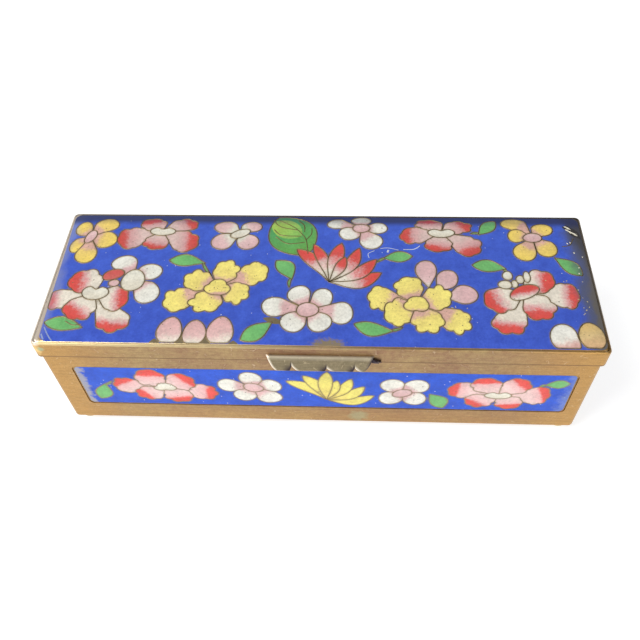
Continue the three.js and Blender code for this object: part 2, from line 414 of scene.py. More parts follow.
def age_and_shade_by_place(nodes, colour, back_shade):
    """Ages and shades the glass by its place. The lid is greyer at its left edge, has painted shade with
    some dirt at its right end and painted shade at its back edge, and the front plaque is worn pale at both
    ends. back_shade is how dark the painted shade at the back edge is."""
    x, y, z = nodes.axes(nodes.where)
    on_top = nodes.between(z, 28.5 * MM, 29.5 * MM)
    near_front = nodes.between(y, -15.8 * MM, -16.2 * MM)
    front = nodes.maths("SUBTRACT", near_front, on_top, use_clamp=True)
    wander = nodes.maths("MULTIPLY_ADD", nodes.noise(5, 4.0), 5 * MM, -2.5 * MM)
    wavy = nodes.maths("ADD", x, wander)
    # the painted shade at the right end reaches further in towards the back
    slanted = nodes.maths("MULTIPLY_ADD", y, 0.25, wavy)
    # crumbs add 2 mm on average, so zones on this axis start 2 mm later
    crumbs = nodes.noise(1.0, 5.0, 0.65)
    frayed = nodes.maths("MULTIPLY_ADD", crumbs, 4 * MM, nodes.maths("MULTIPLY_ADD", wander, 0.5, x))
    # each zone: its colour, its axis, where on it the zone starts and is full, its strength and its face
    # the zones at the lid's right end are painted shade with some dirt, and the one at its back edge is
    # painted shade
    zones = [
        ("#9AA0B4", wavy, -51.6, -54.2, 0.45, on_top), ("#5C5F6C", wavy, 49.4, 52.6, 0.88, on_top),
        ("#6C665C", wavy, 52.6, 54.0, 0.85, on_top), ("#3E404C", slanted, 53.5, 57.0, 0.7, on_top),
        ("#353B5E", y, 14.5, 16.7, back_shade, on_top), ("#B4AF9E", frayed, -45.2, -46.6, 0.75, front),
        ("#9DAAC0", frayed, 50.5, 53.0, 0.4, front),
    ]
    for code, axis, starts, full, strength, face in zones:
        colour = nodes.paint(colour, code, axis, starts, full, strength, face,
            interpolation_type="SMOOTHSTEP")
    # above the thumb tab the glass is rubbed down to a brown smear
    gap = nodes.vector("SUBTRACT", nodes.where, Vector((2.3, -16.7, 30)) * MM)
    away = nodes.vector("LENGTH", nodes.vector("MULTIPLY", gap, (0.6, 1, 0.3)), result="Value")
    ragged = nodes.maths("MULTIPLY_ADD", crumbs, 4 * MM, away)
    return nodes.paint(colour, "#8A7A4C", ragged, 4.3, 3.2, 0.9)


def enamel(name, stops, pits=0.4, blotch=0.09, grain=0.2, gloss=0.18, pit_colour="#7A6A50", ages_and_shades=True,
        back_shade=0.4):
    """A glaze; stops are its shades, from 0 to 1, each with its colour, and pits is its share of
    pinholes. A fresh scratch or chip does not age, nor take the painted shade, with the glass round it."""
    material = new_material(name)
    nodes = Nodes(material.node_tree)
    frit = nodes.noise(FRIT, 4.0, 0.7)
    cloud = nodes.noise(2.6, 3.0)
    push = nodes.maths("MULTIPLY_ADD", nodes.maths("ADD", frit, cloud), 2 * grain, -2 * grain)
    mixed = nodes.maths("ADD", nodes.attribute("shade"), push)
    words = stops.split()
    ramp = [(float(place), srgb(code)) for place, code in zip(words[::2], words[1::2])]
    colour = nodes.add("ShaderNodeValToRGB", {"Fac": mixed}, stops=ramp).outputs["Color"]
    # slow blotches of thicker and thinner glass, and single grains that melted paler or darker
    uneven = nodes.maths("MULTIPLY_ADD", 1.6, nodes.noise(0.55, 3.0, 0.75), cloud)
    colour = nodes.scaled(colour, nodes.between(uneven, 0.9, 1.7, 1 - 2 * blotch, 1 + 2 * blotch))
    # pinholes of 0.1 to 0.2 mm that polishing opened, and that have filled with dirt
    pores = nodes.add("ShaderNodeTexVoronoi", {"Vector": nodes.where, "Scale": per(PORE_SPACING)}).outputs
    chance = nodes.add("ShaderNodeSeparateColor", {0: pores["Color"]}).outputs
    is_open = nodes.maths("LESS_THAN", chance[0], pits)
    inside = nodes.maths("LESS_THAN", pores["Distance"], nodes.between(chance[1], 0.0, 1.0, 0.07, 0.17))
    pit = nodes.maths("MULTIPLY", is_open, inside)
    colour = nodes.blend(nodes.maths("MULTIPLY", pit, 0.8), colour, pit_colour)
    # dirt and metal stain beside the wires, uneven along them
    patchy = nodes.maths("MULTIPLY_ADD", frit, 0.8, -0.4)
    by_wire = nodes.maths("ADD", nodes.attribute("rim"), patchy)
    colour = nodes.blend(nodes.between(by_wire, 0.25, 1.0, 0.0, 0.6), colour, "#857759")
    if ages_and_shades:
        colour = age_and_shade_by_place(nodes, colour, back_shade)
    roughness = nodes.between(cloud, 0.0, 1.0, gloss - 0.05, gloss + 0.15)
    height = nodes.maths("SUBTRACT", nodes.maths("MULTIPLY_ADD", frit, 0.15, cloud), pit)
    shader = nodes.surface(colour, roughness, nodes.bump(height, 0.03, 0.5))
    shader.inputs["IOR"].default_value = 1.54
    shader.inputs["Specular IOR Level"].default_value = 0.18
    return material


glazes = {
    "blue": enamel("cobalt_blue_enamel", "0.2 #3A50B8 0.8 #4C6CD6", pits=0.1, blotch=0.06,
        pit_colour="#C9D0E4", back_shade=0.88),
    "wall_blue": enamel("cobalt_blue_wall_enamel", "0.2 #1A44B8 0.8 #2A5FDA", pits=0.1, blotch=0.08,
        pit_colour="#C9D0E4"),
    "white": enamel("opaque_white_enamel", "0.12 #DDB4B2 0.36 #E6E2D6 0.9 #EDEBE0", pits=0.35),
    "cream": enamel("opaque_cream_enamel", "0.2 #E2DAC6 0.8 #EAE6D6", pits=0.2),
    "rose": enamel("rose_enamel", "0.2 #DDB4B2 0.8 #E2BFBD", pits=0.3),
    "pink": enamel("pink_over_white_enamel", "0.12 #DFDCCB 0.42 #E2C0BD 0.85 #DBB4B3", pits=0.3),
    "yellow": enamel("yellow_over_rose_enamel", "0.1 #DDB0A0 0.3 #EEDA7E 0.85 #F6E680", pits=0.8),
    "peony": enamel("red_over_pink_enamel", "0.3 #E9DFCE 0.52 #DDA9A6 0.68 #D85A54 0.9 #DC534C",
        pits=0.3),
    "amber": enamel("amber_over_rose_enamel", "0.1 #DDB0A0 0.3 #EACB76 0.85 #F2D46C", pits=0.6),
    "rosy_peony": enamel("red_over_rose_enamel", "0.1 #DCC0B8 0.5 #D5A2A0 0.7 #CE5A54 0.9 #CC4F48",
        pits=0.2),
    "rimmed": enamel("pink_with_red_rim_enamel", "0.2 #EBC9C4 0.56 #E9B6B4 0.68 #E2574F 0.9 #E04E47",
        pits=0.1, grain=0.1),
    "bright_yellow": enamel("lemon_yellow_enamel", "0.1 #E3CB6E 0.6 #EBDD74", pits=0.1),
    "red": enamel("red_enamel", "0.1 #D0736A 0.8 #CF5F5A", pits=0.2),
    "leaf": enamel("leaf_green_enamel", "0.1 #6FB46E 0.8 #77BA70", pits=0.15),
    "pod_green": enamel("deep_green_enamel", "0.1 #6BAA55 0.8 #55A062", pits=0.15),
    "pod_lime": enamel("lime_enamel", "0.2 #8FC062 0.7 #A3C45C", pits=0.15),
    "bud": enamel("rose_over_white_enamel", "0.1 #EDE3D2 0.38 #E0B9B4 0.9 #DDAFAC", pits=0.3),
    "bud_foot": enamel("white_over_rose_enamel", "0.12 #DDB0A4 0.4 #E8E4D8 0.9 #EAE8DE", pits=0.3),
    "tan": enamel("buff_enamel", "0.1 #D9AF84 0.5 #DCC08A 0.9 #D8B878", pits=0.3, ages_and_shades=False),
    "scuff": enamel("scuffed_glass", "0.2 #8E9CC4 0.8 #C9CDD6", pits=0.5, gloss=0.5, ages_and_shades=False),
    "bared": enamel("bared_white_metal", "0.2 #C2B48E 0.8 #EFE8D2", pits=0.3, gloss=0.4, ages_and_shades=False),
    "stain": enamel("brown_stained_enamel", "0.2 #76694F 0.8 #8A7B60", pits=0.4, gloss=0.4),
    "soot": enamel("soot_in_a_chip", "0.2 #24242C 0.8 #3E3B3C", pits=0.5, gloss=0.6, ages_and_shades=False),
}
glazes["lip"] = sheet_brass      # not a glaze: the bare edge of the sheet, rubbed through
print(len(glazes), "glazes")

# %% [markdown]
# ## Drawing a plaque
#
# A cloisonne picture is a flat drawing of closed cells. Here it is drawn as
# outlines laid over each other, as cut paper would be: a later petal covers
# an earlier one. Each outline is worked out from a few sizes. A constrained
# triangulation then finds every crossing, and each triangle belongs to the
# topmost outline over it.

# %% Outlines
def oval(at, across, up, turn=0.0, lobes=0, depth=0.0, phase=0.0, notch=0.0):
    """A turned ellipse, a little uneven as if bent by hand. lobes cuts its edge into that many
    scallops, depth deep, and notch dents the middle of its upper side, as in a bean."""
    dice = random.Random(round(31 * at[0] + 17 * at[1]))
    sway = [dice.uniform(0, 2 * pi) for _ in range(3)]
    outline = []
    points = 12 * lobes if lobes else 40
    for k in range(points):
        angle = 2 * pi * k / points + phase
        ripple = 1 + 0.02 * sin(2 * angle + sway[0]) + 0.025 * sin(3 * angle + sway[1])
        if lobes:
            uneven = 0.8 + 0.4 * sin(angle + sway[2])
            ripple -= depth * uneven * (1 - abs(cos(lobes * (angle - phase) / 2)))
        u, v = across * ripple * cos(angle), up * ripple * sin(angle)
        if v > 0:
            v -= notch * up * exp(-(u / (0.3 * across)) ** 2)
        outline.append(Vector((at[0] + u * cos(turn) - v * sin(turn),
            at[1] + u * sin(turn) + v * cos(turn))))
    return outline


def drawn_to(root, outline):
    """The outline with its near side drawn to a point at the root, as a petal narrows to the heart."""
    root = Vector(root)
    heart_side = sum(outline, Vector((0, 0))) / len(outline) - root
    turns = [heart_side.angle_signed(p - root) for p in outline]
    if max(turns) - min(turns) > pi:
        return outline
    first, last = turns.index(min(turns)), turns.index(max(turns))
    ways = [outline[first:] + outline[:first], outline[last:] + outline[:last]]
    arcs = [ways[0][:(last - first) % len(outline) + 1], ways[1][:(first - last) % len(outline) + 1]]
    return max(arcs, key=lambda arc: sum((p - root).length for p in arc) / len(arc)) + [root]


def blade(base, tip, width, bend=0.0, fullness=0.8, widest=0.5):
    """A pointed outline from base to tip; bend bows its spine sideways by that many millimetres."""
    base, tip = Vector(base), Vector(tip)
    along = tip - base
    side = Vector((-along.y, along.x)).normalized()
    left, right = [], []
    for k in range(1, BLADE_STEPS):
        t = k / BLADE_STEPS
        spine = base + along * t + side * bend * sin(pi * t)
        swell = sin(pi * t ** (log(0.5) / log(widest))) ** fullness
        left.append(spine + side * width / 2 * swell)
        right.append(spine - side * width / 2 * swell)
    return [base] + left + [tip] + right[::-1]


def curve_points(points, steps=8):
    """A smooth line through a few points."""
    line = []
    for k in range(len(points) - 1):
        before, a = Vector(points[max(k - 1, 0)]), Vector(points[k])
        b, after = Vector(points[k + 1]), Vector(points[min(k + 2, len(points) - 1)])
        for s in range(steps):
            t = s / steps
            line.append(0.5 * (2 * a + (b - before) * t + (2 * before - 5 * a + 4 * b - after) * t * t
                + (3 * a - before - 3 * b + after) * t ** 3))
    return line + [Vector(points[-1])]


BLADE_STEPS = 18
STEM_WIDTH = 0.6     # millimetres
# how the petals and heart of the two kinds of peony are cut
PEONY = {"heart_glaze": "cream", "notch": 0.5, "lobes": 6, "depth": 0.17}
YELLOW_PEONY = {"heart_glaze": "yellow", "heart_lobes": 3, "lobes": 6, "depth": 0.24}


class Drawing:
    """Cells in the order they are laid, and loose wires, in millimetres from the plaque's middle."""

    def __init__(self):
        self.cells = []
        self.wires = []

    def cell(self, outline, glaze, start=(0, 0), end=(0, 1), walled=True):
        """A cell whose shade runs from 0 at start to 1 at end. A walled cell has a wire round it."""
        self.cells.append({"outline": outline, "glaze": glaze, "start": Vector(start), "end": Vector(end),
            "walled": walled})

    def wire(self, points):
        """A loose wire through a few points."""
        self.wires.append(curve_points(points))

    def blossom(self, at, petals, glaze, heart=None, heart_glaze="rose", heart_turn=0, heart_lobes=0,
            notch=0.0, lobes=0, depth=0.0):
        """Petals laid in order round a heart. A petal is (x, y, half width, half height[, blush[, turn]]),
        from the flower's middle; blush is the direction, in degrees, in which its colour deepens.
        A sixth number turns its scallops by that many degrees, and heart_turn turns the heart."""
        root = Vector(at)
        for petal in petals:
            centre = root + Vector(petal[:2])
            outward = atan2(petal[1], petal[0])
            blush = radians(petal[4]) if len(petal) > 4 else outward
            reach = Vector((petal[2] * cos(blush), petal[3] * sin(blush)))
            phase = outward + radians(petal[5]) if len(petal) > 5 else outward
            outline = oval(centre, petal[2], petal[3], 0.0, lobes, depth, phase)
            self.cell(drawn_to(root, outline), glaze, centre - reach, centre + reach)
        if heart:
            outline = oval(root, heart[0], heart[1], radians(heart_turn), heart_lobes, 0.3, radians(90),
                notch)
            self.cell(outline, heart_glaze, root - Vector((0, heart[1])), root + Vector((0, heart[1])))

    def leaf(self, base, tip, width, stem=None, bend=0.0, widest=0.57):
        """A leaf, on a thin stem that tapers to its end."""
        if stem:
            joint = Vector(base).lerp(Vector(tip), 0.08)
            self.cell(blade(stem, joint, STEM_WIDTH, 0.2, 0.45, 0.62), "leaf")
        self.cell(blade(base, tip, width, bend, 0.85, widest), "leaf", base, tip)

    def bud(self, at, across, up, glaze="bud", drag=(0, 0)):
        """An egg-shaped bud with a flattened foot. drag moves the two ends of its foot to the right."""
        outline = []
        for p in oval(at, across, up):
            x, y = p.x - at[0], max(p.y - at[1], -0.86 * up)
            pull = (drag[0] if x < 0 else drag[1]) * max(0, -y / up) ** 1.5
            outline.append(Vector((at[0] + x * (1 - 0.12 * y / up) + pull, at[1] + y)))
        self.cell(outline, glaze, (at[0] + 0.3 * across, at[1] - up), (at[0] - 0.2 * across, at[1] + up))

    def fit(self, scale, lean, shift):
        """Stretches the drawing to sit in its frame: scaled, then leaned sideways, then shifted."""
        def place(p):
            return Vector((scale[0] * p[0] + lean[0] * p[1] + shift[0],
                scale[1] * p[1] + lean[1] * p[0] + shift[1]))

        for cell in self.cells:
            cell["outline"] = [place(p) for p in cell["outline"]]
            cell["start"], cell["end"] = place(cell["start"]), place(cell["end"])
        self.wires = [[place(p) for p in wire] for wire in self.wires]


print("shapes to draw with: oval, blade, blossom, leaf and bud")

# %% [markdown]
# ## From drawing to plaque
#
# The triangulated drawing is lifted onto the plaque: the same triangles make
# its face and, turned over, its back, so the plaque is one closed solid. The
# edges between two cells are the places where the wires stand, so they are
# collected on the way.

# %% Build a plaque
EDGE_STEP = 0.4      # millimetres between the points of an outline, at most
SPACING = 0.5        # millimetres between the points inside a cell
JITTER = 0.2         # how far such a point strays from its grid, as a share of the spacing
CLEARANCE = 0.17     # millimetres kept free between such a point and an outline
STAIN_WIDTH = 0.45   # millimetres that the stain beside a wire reaches


def closely(ring):
    """The same ring with more points, EDGE_STEP apart or closer."""
    dense = []
    for a, b in zip(ring, ring[1:] + ring[:1]):
        parts = max(1, ceil((b - a).length / EDGE_STEP))
        dense.extend(a.lerp(b, k / parts) for k in range(parts))
    return dense


def rounded_rectangle(width, height, radius):
    """The outline of a plaque."""
    outline = []
    corners = [(1, -1, -90), (1, 1, 0), (-1, 1, 90), (-1, -1, 180)]
    for x, y, first in corners:
        for k in range(7):
            angle = radians(first + 15 * k)
            outline.append(Vector((x * (width / 2 - radius) + radius * cos(angle),
                y * (height / 2 - radius) + radius * sin(angle))))
    return outline


def nearest_of(points):
    """A tree that finds the nearest of many points of the drawing."""
    tree = kdtree.KDTree(len(points))
    for i, p in enumerate(points):
        tree.insert((p.x, p.y, 0), i)
    tree.balance()
    return tree


def anticlockwise(ring):
    """The ring in the direction the triangulation needs, which is anticlockwise."""
    area = sum(a.cross(b) for a, b in zip(ring, ring[1:] + ring[:1]))
    return ring if area > 0 else ring[::-1]


def build_plaque(name, drawing, outline, ground, face, back, blue="blue"):
    """ground is the edge of the blue; between it and the outline the brass shows.
    face and back turn a point of the drawing into a place on the plaque.
    Returns the plaque and a line mesh of its wires."""
    far = Vector((0, 100))
    cells = [{"outline": ground, "glaze": blue, "start": -far, "end": far, "walled": False}] + drawing.cells
    rings = [anticlockwise(closely(ring)) for ring in [outline] + [c["outline"] for c in cells]]
    points, faces = [], []
    for ring in rings:
        faces.append(list(range(len(points), len(points) + len(ring))))
        points.extend(ring)
    taken = nearest_of(points)
    dice = random.Random(7)
    limit = Vector((max(p.x for p in outline), max(p.y for p in outline)))
    for column in range(int(-limit.x / SPACING), int(limit.x / SPACING) + 1):
        for row in range(int(-limit.y / SPACING), int(limit.y / SPACING) + 1):
            stray = [dice.uniform(-JITTER, JITTER), dice.uniform(-JITTER, JITTER)]
            p = Vector((column + stray[0], row + stray[1])) * SPACING
            if taken.find((p.x, p.y, 0))[2] > CLEARANCE:
                points.append(p)
    verts, _, triangles, _, _, owners = delaunay_2d_cdt(points, [], faces, 1, 1e-5, True)
    kept = [(tri, own) for tri, own in zip(triangles, owners) if 0 in own]
    cell_of = [max(own) if 1 in own else 0 for _, own in kept]
    walled = [True] + [c["walled"] for c in cells]
    wall_of = [max(i for i in own if walled[i] and (1 in own or i == 0)) for _, own in kept]

    sides = {}
    for t, (tri, _) in enumerate(kept):
        for a, b in zip(tri, tri[1:] + tri[:1]):
            sides.setdefault((min(a, b), max(a, b)), []).append((t, a, b))
    wires = [edge for edge, users in sides.items()
        if len(users) == 2 and wall_of[users[0][0]] != wall_of[users[1][0]]]
    borders = [users[0] for users in sides.values() if len(users) == 1]

    walls = nearest_of([p for a, b in wires for p in (verts[a], (verts[a] + verts[b]) / 2)])
    count = len(verts)
    places = [face(v.x, v.y) for v in verts] + [back(v.x, v.y) for v in verts]
    tops = [tuple(tri) for tri, _ in kept]
    unders = [tuple(i + count for i in reversed(tri)) for tri in tops]
    skirts = [(b, a, a + count, b + count) for _, a, b in borders]
    mesh = new_mesh(name, places, [], tops + unders + skirts)
    names = ["lip"] + [c["glaze"] for c in cells]
    used = sorted(set(names))
    for glaze in used:
        mesh.materials.append(glazes[glaze])
    shade = mesh.attributes.new("shade", "FLOAT", "CORNER")
    rim = mesh.attributes.new("rim", "FLOAT", "CORNER")
    for t, polygon in enumerate(mesh.polygons):
        cell = cell_of[t] if t < len(tops) else 0
        polygon.material_index = used.index(names[cell])
        polygon.use_smooth = t < len(tops)
        for corner in polygon.loop_indices:
            v = verts[mesh.loops[corner].vertex_index % count]
            if cell:
                run = cells[cell - 1]["end"] - cells[cell - 1]["start"]
                value = (v - cells[cell - 1]["start"]).dot(run) / run.length_squared
                shade.data[corner].value = min(max(value, 0), 1)
            else:
                shade.data[corner].value = 0.5
            away = walls.find((v.x, v.y, 0))[2] if t < len(tops) and wires else 9
            rim.data[corner].value = max(0, 1 - away / STAIN_WIDTH)
    plaque = link_object(name, mesh)

    used_verts = sorted(set(i for edge in wires for i in edge))
    place = {v: i for i, v in enumerate(used_verts)}
    line_places = [face(verts[v].x, verts[v].y) for v in used_verts]
    line_edges = [(place[a], place[b]) for a, b in wires]
    for wire in drawing.wires:
        first = len(line_places)
        line_places.extend(face(p.x, p.y) for p in wire)
        line_edges.extend((first + i, first + i + 1) for i in range(len(wire) - 1))
    print(name, "has", len(drawing.cells), "cells,", len(kept), "triangles and", len(wires), "wire steps")
    return plaque, new_mesh(name + "_lines", line_places, line_edges)


# %% [markdown]
# ## Cloison wires
#
# The wires are flat brass strips about 0.2 mm thick, bent along every border
# and ground level with the glass. Geometry Nodes suits them: one tree sweeps
# a small round section along whatever lines it is given, sunk so that only
# its crown stands free of the glass.

# %% A node tree that lays wire along lines
def new_tree(name, sockets):
    """A tree from geometry to geometry; sockets holds each further input's name, type and value.
    Returns the tree and its inputs."""
    tree = bpy.data.node_groups.new(name, "GeometryNodeTree")
    tree.interface.new_socket("Start", in_out="INPUT", socket_type="NodeSocketGeometry")
    for label, kind, value in sockets:
        tree.interface.new_socket(label, in_out="INPUT",
            socket_type="NodeSocket" + kind).default_value = value
    tree.interface.new_socket("Metal", in_out="INPUT", socket_type="NodeSocketMaterial")
    tree.interface.new_socket("Finished", in_out="OUTPUT", socket_type="NodeSocketGeometry")
    return tree, add_node(tree, "NodeGroupInput").outputs


def close_tree(tree, shape, metal):
    """Ends a tree: its shape is smoothed and given its metal."""
    smooth = made(tree, "GeometryNodeSetShadeSmooth", {"Geometry": shape})
    clad = made(tree, "GeometryNodeSetMaterial", {"Geometry": smooth, "Material": metal})
    add_node(tree, "NodeGroupOutput", {"Finished": clad})


def wire_tree():
    """A round section swept along the lines, after the lines are moved by Sunk."""
    tree, given = new_tree("lay_cloison_wire",
        [("Wire Radius", "Float", 0.15 * MM), ("Step", "Float", WIRE_STEP * MM),
        ("Sunk", "Vector", (0, 0, 0))])
    lowered = made(tree, "GeometryNodeSetPosition", {"Geometry": given["Start"], "Offset": given["Sunk"]})
    curves = made(tree, "GeometryNodeMeshToCurve", {"Mesh": lowered})
    even = made(tree, "GeometryNodeResampleCurve", {"Curve": curves, "Length": given["Step"]},
        mode="LENGTH")
    section = made(tree, "GeometryNodeCurvePrimitiveCircle",
        {"Resolution": 6, "Radius": given["Wire Radius"]})
    swept = made(tree, "GeometryNodeCurveToMesh",
        {"Curve": even, "Profile Curve": section, "Fill Caps": True})
    close_tree(tree, swept, given["Metal"])
    return tree


def run_tree(name, mesh, tree, values):
    """Runs a node tree on a mesh and returns the result as a plain mesh object."""
    source = link_object(name, mesh)
    modifier = source.modifiers.new("nodes", "NODES")
    modifier.node_group = tree
    for item in tree.interface.items_tree:
        if item.in_out == "INPUT" and item.name in values:
            modifier[item.identifier] = values[item.name]
    evaluated = source.evaluated_get(bpy.context.evaluated_depsgraph_get())
    result = bpy.data.meshes.new_from_object(evaluated)
    result.name = name
    bpy.data.objects.remove(source)
    return link_object(name, result)


def lay_wires(name, lines, radius, sunk):
    """Sweeps wire along the lines, moved by sunk, which is in millimetres."""
    wires = run_tree(name, lines, cloison_tree,
        {"Wire Radius": radius * MM, "Step": WIRE_STEP * MM, "Sunk": sunk * MM, "Metal": wire_brass})
    finish_piece(wires, "brass")


WIRE_RADIUS = 0.16
WIRE_STEP = 0.3      # millimetres between the rings of a wire
WIRE_PROUD = 0.06    # how far the crown of a wire stands out of the glass
cloison_tree = wire_tree()
print("wires are", 2 * WIRE_RADIUS, "mm thick")

# %% [markdown]
# ## The lid's picture
#
# Two rows of flowers on a blue ground: peonies in red and yellow, plum
# blossoms, a lotus and a seed pod. Sizes are in millimetres from the middle
# of the plaque, x to the right and y to the back. Leaves and loose buds are
# laid first, then the flowers.

# %% Draw the lid: leaves, buds and pod
lid = Drawing()
lid.leaf((-23.6, 3.0), (-31.5, 3.8), 3.3, stem=(-21.9, -0.5), bend=-0.4, widest=0.6)
lid.leaf((-5.3, -1.2), (-9.0, 4.0), 3.7, stem=(-5.7, -3.4), bend=-0.7)
lid.leaf((-8.3, -12.1), (-14.2, -16.4), 3.6, bend=0.2)
lid.leaf((15.2, -13.9), (7.5, -12.3), 3.2, stem=(17.0, -12.9), bend=0.5)
lid.leaf((13.3, 5.0), (19.3, 5.6), 3.0, stem=(11.9, 3.7), bend=0.1, widest=0.55)
lid.leaf((33.3, 11.9), (37.2, 16.2), 3.0, stem=(31.6, 12.2))
lid.leaf((38.2, 2.3), (31.3, 3.3), 3.3, stem=(38.5, 1.5), bend=-0.3)
lid.leaf((-45.4, -14.2), (-53.6, -12.8), 3.3, bend=-0.2)
lid.leaf((48.2, 5.6), (53.3, 0.9), 3.4, bend=0.2, widest=0.6)
lid.wire([(-49.2, -12.7), (-47.5, -13.6), (-45.9, -13.3)])

lid.cell(blade((-2.6, 5.7), (-9.5, 17.0), 10.4, 0.0, 0.7), "pod_green", (-2.6, 5.7), (-9.3, 17.0))
lid.cell(blade((-4.2, 11.2), (-10.7, 15.2), 5.4, 0.0, 0.6), "pod_lime", (-4.2, 11.2), (-10.7, 15.2),
    walled=False)
for vein in ([(-9.3, 16.0), (-6.1, 13.9), (-4.3, 12.0), (-3.1, 9.9), (-2.5, 6.0)],
        [(-10.5, 16.0), (-8.9, 13.9), (-5.2, 12.9)], [(-10.2, 13.0), (-8.4, 11.3), (-4.3, 11.1)],
        [(-9.7, 10.9), (-7.0, 8.9), (-3.4, 9.3)], [(-5.2, 16.0), (-3.8, 14.4), (-3.6, 12.4)],
        [(-2.1, 13.4), (-2.1, 11.7), (-3.1, 10.1)]):
    lid.wire(vein)

lid.cell(blade((-10.3, -11.2), (-6.2, -12.4), 1.5), "stain", walled=False)
for x, rise in ((-30.8, 1.6), (-25.8, 2.6), (-20.9, 2.6), (-15.5, 1.4)):
    lid.cell(blade((x, -17.9), (x, -17.9 + rise), 2.2, 0.0, 0.8, 0.3), "stain", walled=False)
for at, across, up in (((-28.2, -14.4), 2.45, 3.1), ((-23.3, -14.8), 2.3, 2.8),
        ((-18.3, -14.3), 2.65, 3.2)):
    lid.bud(at, across, up)
lid.bud((47.2, -14.5), 2.6, 2.9, "bud_foot", (0.1, 1.9))
lid.bud((52.45, -14.2), 2.5, 3.1, "tan", (0.6, 0.5))
print("the lid has", len(lid.cells), "leaves and buds")

# %% Draw the lid: back row of flowers
lid.blossom((-49.8, 10.4), [(-2.3, -2.6, 1.7, 2.1), (-2.0, 2.4, 1.9, 2.1), (2.8, 3.6, 2.7, 1.9),
    (0.2, -5.2, 2.3, 2.5), (3.5, -0.9, 2.4, 2.4)], "amber", heart=(1.1, 2.0), heart_turn=-20)
lid.blossom((-34.4, 12.2), [(-6.5, -2.1, 3.1, 3.2, 190), (4.5, 2.1, 3.1, 2.0, 45), (5.4, -3.0, 3.1, 3.1, 0),
    (-2.3, 2.1, 3.0, 2.0, 100), (-0.9, -3.4, 2.9, 2.1, 265)], "rosy_peony", heart=(2.8, 1.25), **PEONY)
lid.blossom((-17.4, 11.7), [(-3.3, 1.9, 2.5, 1.8), (2.3, 2.1, 2.3, 1.5), (-3.6, -2.4, 2.4, 2.3),
    (1.8, -2.4, 2.4, 2.2)], "pink", heart=(2.2, 1.15), heart_glaze="cream", heart_turn=25)
lid.blossom((8.5, 13.6), [(-5.1, 1.3, 2.2, 1.5), (0.0, 2.4, 2.2, 1.2), (3.5, 0.1, 2.1, 1.7),
    (-2.4, -1.6, 2.3, 1.9), (2.2, -3.9, 2.4, 2.2)], "white", heart=(1.9, 1.25))
lid.blossom((25.5, 12.4), [(-5.9, -0.9, 2.9, 2.6, 180), (5.4, -3.8, 3.0, 3.0, 300),
    (3.6, 1.7, 3.1, 2.1, 30), (-2.6, 2.6, 3.0, 1.6, 90), (-0.7, -3.5, 3.1, 2.1, 262)], "rosy_peony",
    heart=(2.9, 1.3), **PEONY)
lid.blossom((44.5, 11.2), [(-3.6, 4.2, 2.7, 1.6), (2.3, 2.4, 2.2, 1.8), (-3.2, 0.5, 1.9, 1.9),
    (2.6, -3.2, 2.1, 2.3), (-2.0, -4.1, 2.4, 2.5)], "amber", heart=(1.95, 1.35))

# %% Draw the lid: lotus and front row of flowers
lotus_base = (2.2, -1.7)
for tip, width, bend in (((12.9, 0.9), 3.3, -1.5), ((-4.9, 7.3), 3.1, -0.9), ((11.9, 4.6), 3.0, -1.3),
        ((8.3, 7.8), 2.9, -1.1), ((-1.4, 8.8), 2.5, -0.6), ((4.5, 9.2), 3.1, 0.2), ((5.4, 5.2), 2.3, -0.3)):
    lid.cell(blade(lotus_base, tip, width, bend, 0.8, 0.62), "peony", lotus_base, tip)
lid.blossom((-45.1, -5.3), [(-7.3, -1.9, 2.5, 2.7, 188), (5.2, -7.1, 3.5, 2.9, 270, -35),
    (-2.1, -4.2, 3.4, 3.1, 235), (-2.6, 3.0, 3.6, 3.4, 185), (4.5, -1.4, 2.8, 3.3, 5)], "peony",
    heart=(2.7, 1.9), **PEONY)
lid.blossom((-38.0, -1.9), [(-2.7, 4.7, 2.7, 2.1), (3.1, 2.4, 2.5, 2.2), (3.5, -3.2, 2.6, 2.8)], "white",
    heart=(2.4, 2.9), heart_glaze="cream")
lid.cell(oval((-42.4, -0.4), 2.3, 1.4, 0.4), "red", (-42.6, -3), (-42.6, 1))
lid.cell(oval((-41.8, -2.7), 1.2, 0.9), "rose", (-43, -3), (-40, -2))
lid.blossom((-20.3, -3.5), [(-7.7, -3.4, 3.0, 3.2), (7.1, 3.9, 3.0, 3.2), (-4.4, 1.9, 3.0, 2.9),
    (1.3, 4.5, 2.9, 3.0), (-1.9, -3.8, 3.5, 2.9), (4.0, -1.5, 2.8, 3.0)], "yellow", heart=(2.9, 2.2),
    **YELLOW_PEONY)
lid.blossom((-1.7, -9.0), [(-6.5, 0.7, 2.6, 2.5), (-1.9, 3.9, 2.3, 2.3), (2.8, 3.0, 2.1, 2.5),
    (6.6, -0.7, 2.4, 2.8), (2.5, -3.0, 2.4, 2.3), (-2.6, -3.0, 2.5, 2.5)], "white", heart=(2.2, 1.8))
for at, across, up, foot in (((29.4, -4.6), 2.5, 2.4, (25.5, -5.5)), ((26.1, -0.6), 2.2, 2.4, (23.8, -4.0)),
        ((21.9, 1.6), 2.2, 2.8, (22.3, -3.0))):
    lid.cell(drawn_to(foot, oval(at, across, up)), "pink", foot, at)
lid.blossom((19.7, -7.3), [(-7.1, 1.4, 2.7, 3.3), (7.9, -4.2, 2.8, 3.1), (-3.6, -2.0, 2.9, 3.6),
    (2.1, -4.3, 3.4, 2.8), (-1.4, 4.4, 3.1, 2.9), (4.4, 1.9, 2.8, 3.3)], "yellow", heart=(2.7, 2.1),
    **YELLOW_PEONY)
lid.blossom((41.1, -3.8), [(8.0, -0.8, 2.8, 3.4, 0), (-3.7, -7.8, 3.4, 2.9, 262), (3.2, 2.9, 3.2, 3.2, 350),
    (2.5, -3.9, 3.3, 3.3, 270), (-4.8, -2.1, 3.4, 3.4, 205)], "peony", lobes=6, depth=0.17)
